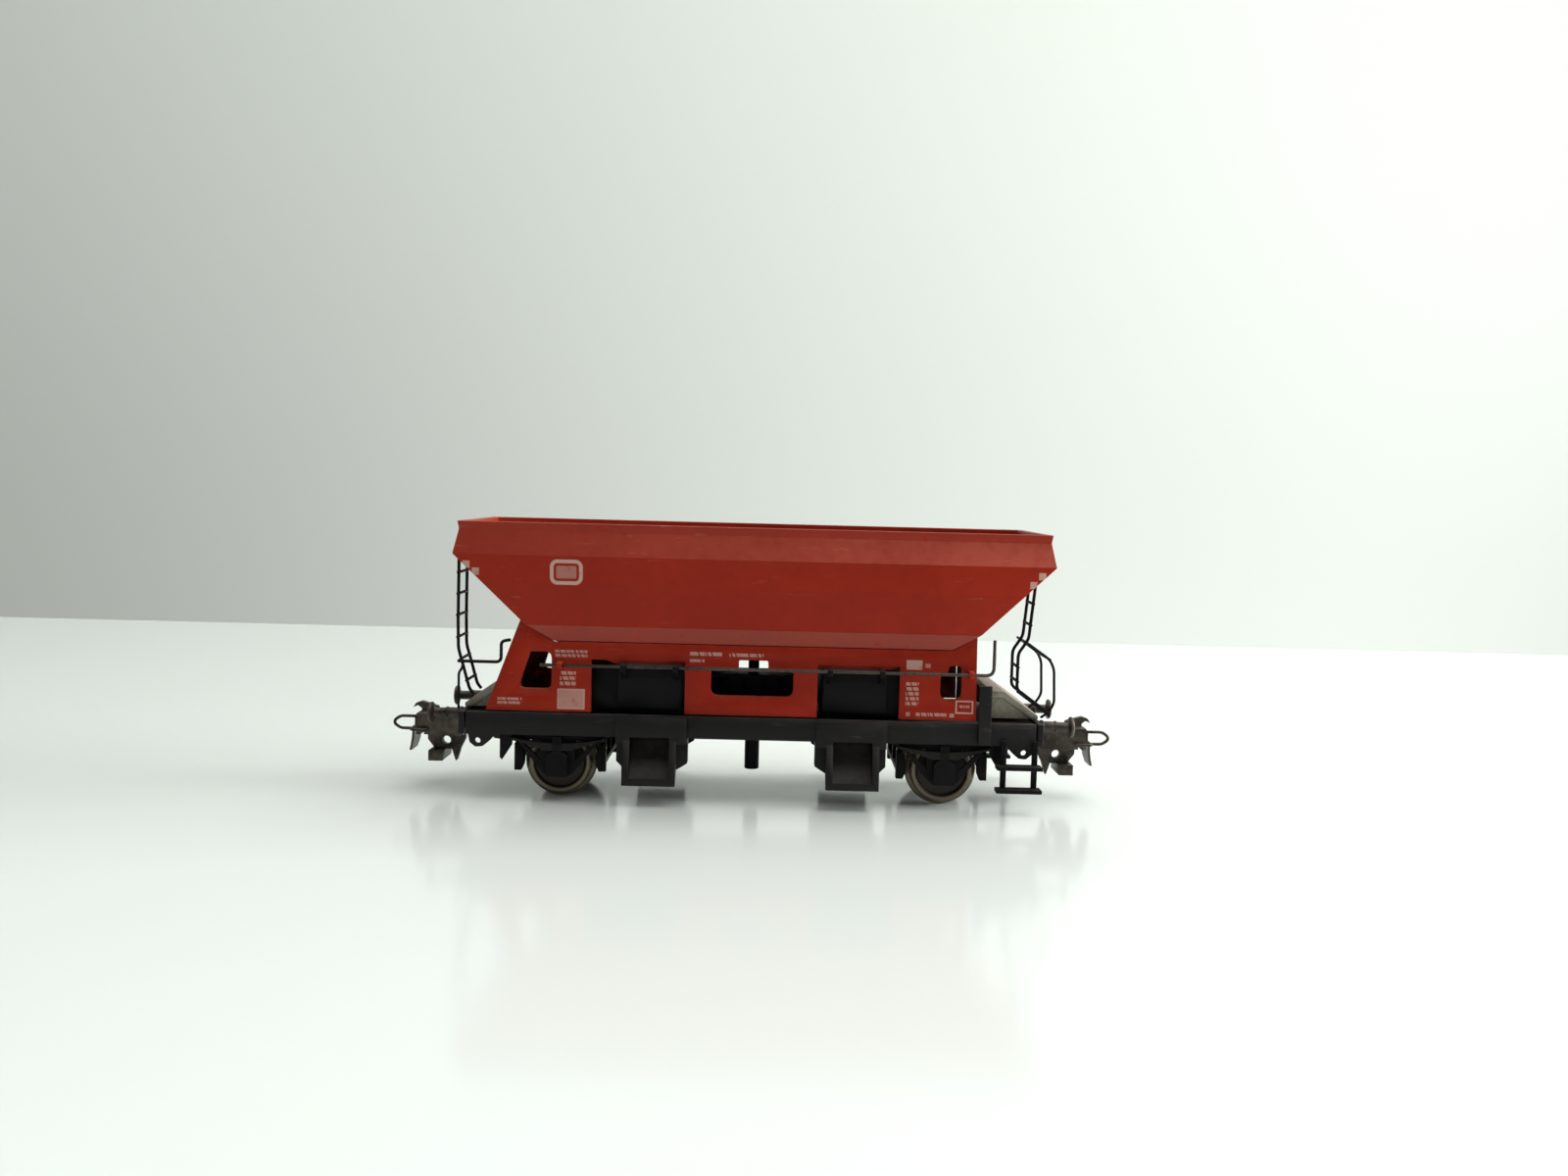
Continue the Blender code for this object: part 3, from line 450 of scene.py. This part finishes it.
wire_r = 0.29
pivot_x, yoke_start, yoke_z, yoke_half = 47.0, 59.8, 10.8, 4.2
eye_back, eye_tip, eye_low, eye_high = 62.95, 66.95, 10.25, 12.55
tongue_line = np.array([(62.62, 10.9), (62.62, 9.4), (62.82, 7.9), (63.25, 6.5)])
for end, sx in ENDS.items():
    eased_copy(f"coupler_head_{end}", BURNISHED, ease=0.09 * mm)
    yoke = [(yoke_start, -yoke_half, yoke_z), (eye_back, -yoke_half, yoke_z),
            (eye_back, yoke_half, yoke_z), (yoke_start, yoke_half, yoke_z)]
    eye = [(eye_back, 0, eye_low), (eye_tip - 1.1, 0, eye_low), (eye_tip, 0, eye_low + 0.8),
           (eye_tip, 0, eye_high - 0.8), (eye_tip - 1.1, 0, eye_high), (eye_back, 0, eye_high)]
    bar = [(eye_back, 0, eye_low - 0.2), (eye_back, 0, eye_high + 0.2)]
    side_line = eased_outline(tongue_line, 1.0, 5)
    outline = np.vstack([side_line, (side_line + (0.42, 0.04))[::-1]])
    across = np.linspace(-1.0, 1.0, 9)[:, None]
    tongue = np.empty((9, len(outline), 3))
    tongue[..., 0] = outline[:, 0]
    tongue[..., 1] = across * (2.6 - 0.5 * np.clip((8.0 - outline[:, 1]) / 1.5, 0, 1))
    tongue[..., 2] = outline[:, 1]
    surfaces = [wire_surface(yoke, wire_r, 0.6), wire_surface(eye, wire_r, 0.7),
                wire_surface(bar, wire_r), grid_surface(tongue)]
    surfaces = [(points * (sx, 1, 1), faces) for points, faces in surfaces]
    surface_piece(f"coupler_loop_{end}_skin", surfaces, WIRE, f"loop_{end}",
                  [f"coupler_loop_{end}"], 45.0)
    screw = eased_outline([(0.02, 14.3), (0.7, 14.3), (0.7, 10.0), (1.5, 10.0), (1.5, 8.9), (0.02, 8.9)],
                          0.12)
    surface_piece(f"coupler_screw_{end}_skin", [turned_surface(screw, (sx * pivot_x, 0, 0))], BURNISHED,
                  "root", [f"coupler_screw_{end}"])


# ======================================================================== chutes and outlets
# Four open troughs hang below the floor and throw the load clear of the rails. Above them sits a
# black saddle insert under each funnel, with the slotted centre block between. All are mouldings.
eased_copy("centre_block", BLACK, ease=0.09 * mm)
for end in ENDS:
    eased_copy(f"outlet_block_{end}", BLACK)
    for side in SIDES:
        eased_copy(f"chute_{side}_{end}", SILL_BLACK, ease=0.14 * mm)


# ======================================================================== discharge gates
# One bent steel rod along each side carries two plain flaps, and its turned-up end is the handle.
# The rod is darkened steel with brighter rubbed patches.
ROD = bare_metal("rod_wire", tone(62, 55, 52), tone(104, 94, 88), 0.38, 0.8, 0.006)
rod_y, rod_z, handle_top, rod_radius = 14.9, 24.8, 31.0, 0.31
for side, sy in SIDES.items():
    rod = [(x, sy * rod_y, z) for x, z in ((-37.4, rod_z), (42.5, rod_z), (42.5, handle_top))]
    surface_piece(f"gate_rod_{side}_skin", [wire_surface(rod, rod_radius, 1.4, 16)], ROD, f"gate_{side}",
                  [f"gate_rod_{side}"], 45.0)
    for end in ENDS:
        eased_copy(f"flap_{side}_{end}", BLACK, ease=0.09 * mm)


# ======================================================================== side walls
# An oxide-red wall stands on each sill and carries the body: three panels joined by a strip. Its outer
# face has the small white printed fields of such a wagon, here plain blocks without any lettering.
RED_DEEP, RED_WORN = tone(140, 30, 13), tone(161, 41, 21)
# The pale ink of the prints, also the colour of the painted light on the hopper body.
INK_AND_PAINTED_LIGHT = tone(196, 160, 148)


def rectangle(x, z, middle_x, middle_z, half_x, half_z, corner=0.0):
    """Distance from a rectangle's edge in the XZ plane, below 0 inside: the larger of the two
    overshoots, or for rounded corners the length of the positive overshoots less the radius."""
    over_x = (x - middle_x * mm).math("ABSOLUTE") - (half_x - corner) * mm
    over_z = (z - middle_z * mm).math("ABSOLUTE") - (half_z - corner) * mm
    if not corner:
        return over_x.math("MAXIMUM", over_z)
    out_x, out_z = over_x.math("MAXIMUM", 0.0), over_z.math("MAXIMUM", 0.0)
    return (out_x * out_x + out_z * out_z).math("SQRT") - corner * mm


def printed(distance, soft=0.12):
    """1 inside a shape and 0 outside it, from its distance."""
    return (distance * -1.0).above(0.0, soft * mm)


def stacked(x, z, left, right, top, bottom, count):
    """A field of count fine lines under each other, broken up along their length by noise."""
    pitch = (top - bottom) / count
    line = ((z * -1.0 + top * mm) / (pitch * mm)).math("FRACT")
    whole = rectangle(x, z, (left + right) / 2, (top + bottom) / 2, (right - left) / 2, (top - bottom) / 2)
    broken = x.add("ShaderNodeTexNoise", {"noise_dimensions": "1D"},
                   {"W": x * 2600.0 + z * 900.0, "Scale": 1.0, "Detail": 0.0})
    return printed(whole) * (1.0 - line.above(0.66, 0.2)) * broken.above(0.4, 0.12)


def wall_print(place, facing):
    """The printed fields of a wall: line fields, a pale load table, a framed field and dots. The
    inner face is painted near-black as painted shade."""
    x, y, z = split(place)
    outer = y.math("ABSOLUTE").above(13.42 * mm, 0.04 * mm)
    mask = printed(rectangle(x, z, 37.7, 18.85, 1.45, 1.05).math("ABSOLUTE") - 0.13 * mm)
    fields = ((-35.0, -29.3, 27.4, 25.9, 2), (-34.1, -31.3, 23.6, 20.8, 3), (-45.1, -40.8, 18.7, 17.3, 2),
              (-11.2, -5.5, 27.6, 26.6, 1), (-4.2, 1.8, 27.5, 26.6, 1), (-11.2, -8.6, 26.3, 25.5, 1),
              (27.2, 29.5, 23.1, 18.7, 5), (29.1, 34.6, 17.7, 16.8, 1), (36.8, 38.6, 19.2, 18.5, 1))
    for field in fields:
        mask = mask.math("MAXIMUM", stacked(x, z, *field) * 0.75)
    blocks = ((-32.1, 18.65, 2.35, 1.75, 0.62), (28.6, 26.2, 1.4, 0.85, 0.85), (31.0, 26.1, 0.45, 0.35, 0.6),
              (27.7, 17.4, 0.35, 0.35, 0.6), (35.5, 17.3, 0.4, 0.35, 0.7))
    for *block, strength in blocks:
        mask = mask.math("MAXIMUM", printed(rectangle(x, z, *block)) * strength)
    table_frame = rectangle(x, z, -32.1, 18.65, 2.3, 1.7).math("ABSOLUTE") - 0.12 * mm
    mask = mask.math("MAXIMUM", printed(table_frame) * 0.9) * outer
    # Painted shade: the inner face is painted near-black for the shade inside the body.
    inner = 1.0 - y.math("ABSOLUTE").above(12.7 * mm, 0.2 * mm)
    return mask.math("MAXIMUM", inner * 0.9), inner.between(INK_AND_PAINTED_LIGHT, tone(13, 10, 10))


WALL_RED = moulded_plastic("wall_red", RED_DEEP, RED_WORN, tone(176, 120, 100), 0.45, 0.3, wall_print)
for side in SIDES:
    eased_copy(f"side_wall_{side}", WALL_RED, ease=0.13 * mm)


# ======================================================================== hopper body
# The open body is one thin-walled moulding in oxide red: a narrow upright lip, a band leaning in, a
# deep band leaning out, and two slopes down to the neck with its funnels and outlet shafts.
def hopper_print(place, facing):
    """A framed rounded field on the deep band near one end, a pair of squares on each of its lower
    corners, and painted light: the band under the rim and the lowest slope are lightened."""
    x, y, z = split(place)
    outward = (split(facing)[1] * y.math("SIGN")).above(0.3, 0.2)
    badge = rectangle(x, z, -32.85, 41.3, 2.85, 2.2, 1.3)
    ring = printed(badge) * (1.0 - printed(badge + 0.62 * mm))
    field = printed(rectangle(x, z, -32.85, 41.3, 1.75, 1.1, 0.3)) * 0.45
    mask = ring.math("MAXIMUM", field)
    for corner in ((-50.3, 42.3), (-48.65, 41.1), (50.2, 42.6), (48.75, 41.0)):
        mask = mask.math("MAXIMUM", printed(rectangle(x, z, *corner, 0.62, 0.62)) * 0.85)
    # Painted light: the lowest slope is lightened for light thrown up by the table, the band under the rim
    # for light from above.
    lowest_slope = z.above(29.0 * mm, 0.1 * mm) * (1.0 - z.above(31.8 * mm, 0.1 * mm))
    painted_light_bands = (lowest_slope * 0.12).math("MAXIMUM", z.above(44.1 * mm, 0.2 * mm) * 0.05)
    return mask.math("MAXIMUM", painted_light_bands) * outward, INK_AND_PAINTED_LIGHT


HOPPER_RED = moulded_plastic("hopper_red", RED_DEEP, RED_WORN, tone(180, 122, 100), 0.4, 0.3, hopper_print)
eased_copy("hopper_shell", HOPPER_RED, ease=0.16 * mm, crease=3.0,
           sharp_between=(30.2, 30.6))


# ======================================================================== ladders and rails
# Thin black mouldings that imitate round bar: a ladder at each end, a stay beside the left one, and
# the railing of the brakeman's platform at the right.
far_rail = -5.6


def rail_at(profile, heights):
    """The x of a ladder's rail at given heights, by straight interpolation along its profile."""
    profile = np.asarray(profile, float)[::-1]
    return np.interp(heights, profile[:, 1], profile[:, 0])


def ladder_surfaces(profile, near, rungs):
    """Two bent rails, one at y near and one at y far_rail, and rungs whose ends stand proud of them."""
    rails = [wire_surface([(x, y, z) for x, z in profile], wire_r, 0.8) for y in (near, far_rail)]
    steps = [wire_surface([(x, near - 0.7, z), (x, far_rail + 0.5, z)], 0.26, 0.0, 10)
             for x, z in zip(rail_at(profile, rungs), rungs)]
    return rails + steps


stay_y, post_y = -13.1, -12.9
left_rail = [(-52.4, 43.3), (-52.5, 32.0), (-52.4, 27.0), (-51.7, 24.6), (-50.4, 19.9), (-49.7, 19.0)]
surface_piece("ladder_left_skin", ladder_surfaces(left_rail, -12.0, [21.4, 25.2, 29.1, 33.0, 36.8, 40.6]),
              BLACK, "root", ["ladder_left"])
right_rail = [(50.0, 41.0), (49.1, 31.0), (47.35, 28.4), (47.35, 21.9), (53.2, 17.7)]
stringer = np.array([(47.3, 21.4), (53.4, 17.0), (53.4, 17.9), (47.3, 22.3)])
stringer = np.stack([np.insert(stringer, 1, y, axis=1) for y in (-11.6, -10.9)])
surfaces = ladder_surfaces(right_rail, -11.2, [23.4, 26.0, 33.6, 37.4]) + [grid_surface(stringer)]
surface_piece("ladder_right_skin", surfaces, BLACK, "root", ["ladder_right"])
stay = [(-52.25, post_y, 24.9), (-44.6, stay_y, 24.9), (-44.6, stay_y, 28.6), (-43.0, stay_y, 28.9)]
post = [(-51.3, post_y, 24.9), (-51.5, post_y, 23.7), (-52.1, post_y, 22.8), (-52.1, post_y, 16.5)]
surface_piece("ladder_stay_left_skin", [wire_surface(stay, wire_r, 1.0), wire_surface(post, 0.23, 0.6)],
              BLACK, "root", ["ladder_stay_left"])
rail = [(49.5, 29.95), (53.3, 27.3), (54.1, 25.6), (54.35, 19.4), (53.4, 17.8), (52.05, 16.8)]
railing_y, railing_r = (-10.2, 1.4), 0.25
bars = [wire_surface([(x, y, z) for x, z in rail], railing_r, 0.8) for y in railing_y]
bars += [wire_surface([(x, railing_y[0] - 0.15, z), (x, railing_y[1] + 0.15, z)], railing_r)
         for x, z in rail[:2]]
surface_piece("platform_railing_skin", bars, BLACK, "root", ["platform_railing"])


# ======================================================================== steps and end plates
# Moulded steps and the square stanchion hang on the sills at the right. The end wedges are dull cast
# metal, which also gives the light wagon its weight.
CAST = bare_metal("cast_metal", tone(138, 132, 117), tone(184, 178, 161), 0.5, 0.1, 0.005)
for side in SIDES:
    eased_copy(f"stanchion_{side}", SILL_BLACK)
    eased_copy(f"footstep_{side}", BLACK, ease=0.09 * mm)
for end in ENDS:
    eased_copy(f"end_wedge_{end}", CAST, ease=0.12 * mm)


# ======================================================================== studio
# A glossy white table in front of a pale wall, a large soft light from above, a broad one from the
# right and one below the table's back edge that washes the wall. The camera stands low in front.
table_back, wall_y = 262, 900


def stage_plane(name, corners, material):
    """A flat sheet through four corners in millimetres."""
    mesh = bpy.data.meshes.new(name)
    mesh.from_pydata([tuple(c * mm for c in corner) for corner in corners], [], [(0, 1, 2, 3)])
    plane = bpy.data.objects.new(name, mesh)
    bpy.context.scene.collection.objects.link(plane)
    plane.data.materials.append(material)


def stage_paint(name, colour, roughness):
    """Plain paint with a very slight cloudiness."""
    material, shader, place, _ = new_paint(name)
    darker = tuple(c * 0.985 for c in colour)
    connect(shader, "Base Color", place.noise(0.08, 2.0).between(colour, darker))
    shader.inputs["Roughness"].default_value = roughness
    return material


TABLE = stage_paint("white_table", tone(226, 231, 227), 0.14)
WALL = stage_paint("pale_wall", tone(224, 229, 222), 0.9)
stage_plane("table", [(-2500, -1500, 0), (2500, -1500, 0), (2500, table_back, 0),
                      (-2500, table_back, 0)], TABLE)
stage_plane("wall", [(-4000, wall_y, -900), (4000, wall_y, -900), (4000, wall_y, 2400),
                     (-4000, wall_y, 2400)], WALL)


def soft_light(name, place, target, width, height, power, colour):
    """A rectangular area light at a place in millimetres, turned towards a target."""
    lamp = bpy.data.lights.new(name, "AREA")
    lamp.shape = "RECTANGLE"
    lamp.size, lamp.size_y = width * mm, height * mm
    lamp.energy = power
    lamp.color = colour
    light = bpy.data.objects.new(name, lamp)
    place, target = Vector(place) * mm, Vector(target) * mm
    aim = (target - place).to_track_quat("-Z", "Y").to_matrix().to_4x4()
    light.matrix_world = Matrix.Translation(place) @ aim
    bpy.context.scene.collection.objects.link(light)


soft_light("window", (1100, 20, 380), (0, 0, 20), 700, 420, 15.0, (0.98, 1.0, 1.0))
soft_light("ceiling", (250, 80, 1300), (0, 60, 0), 1700, 1300, 14.2, (0.99, 1.0, 0.99))
soft_light("wall_wash", (300, 430, -380), (200, 900, 110), 900, 260, 2.0, (0.98, 1.0, 1.0))
world = bpy.data.worlds.new("studio")
bpy.context.scene.world = world
world.use_nodes = True
sky = Paint(world.node_tree).add("ShaderNodeTexCoord")
sky_x, sky_y, sky_z = split(sky)
bright = sky_y.above(0.1, 1.3) * 0.45 + sky_z.above(0.35, 1.0) * 0.3 + sky_x.above(0.4, 1.2) * 0.2 + 0.06
background = world.node_tree.nodes["Background"]
background.inputs["Color"].default_value = (0.95, 0.97, 0.93, 1.0)
world.node_tree.links.new(bright.socket, background.inputs["Strength"])
bpy.context.scene.view_settings.view_transform = "Standard"

camera_place = Vector((2.7, -249.0, 57.1)) * mm
yaw, pitch, roll = math.radians(0.59), math.radians(4.32), math.radians(1.47)
ahead = Vector((math.sin(yaw) * math.cos(pitch), math.cos(yaw) * math.cos(pitch), -math.sin(pitch)))
level = Vector((math.cos(yaw), -math.sin(yaw), 0.0))
upward = level.cross(ahead)
right = level * math.cos(roll) + upward * math.sin(roll)
upward = upward * math.cos(roll) - level * math.sin(roll)
turn = Matrix((right, upward, -ahead)).transposed().to_4x4()
camera_data = bpy.data.cameras.new("camera")
camera_data.lens = 30.762
camera_data.sensor_width = 36
camera_data.clip_start = 0.01
camera = bpy.data.objects.new("camera", camera_data)
camera.matrix_world = Matrix.Translation(camera_place) @ turn
bpy.context.scene.collection.objects.link(camera)
bpy.context.scene.camera = camera
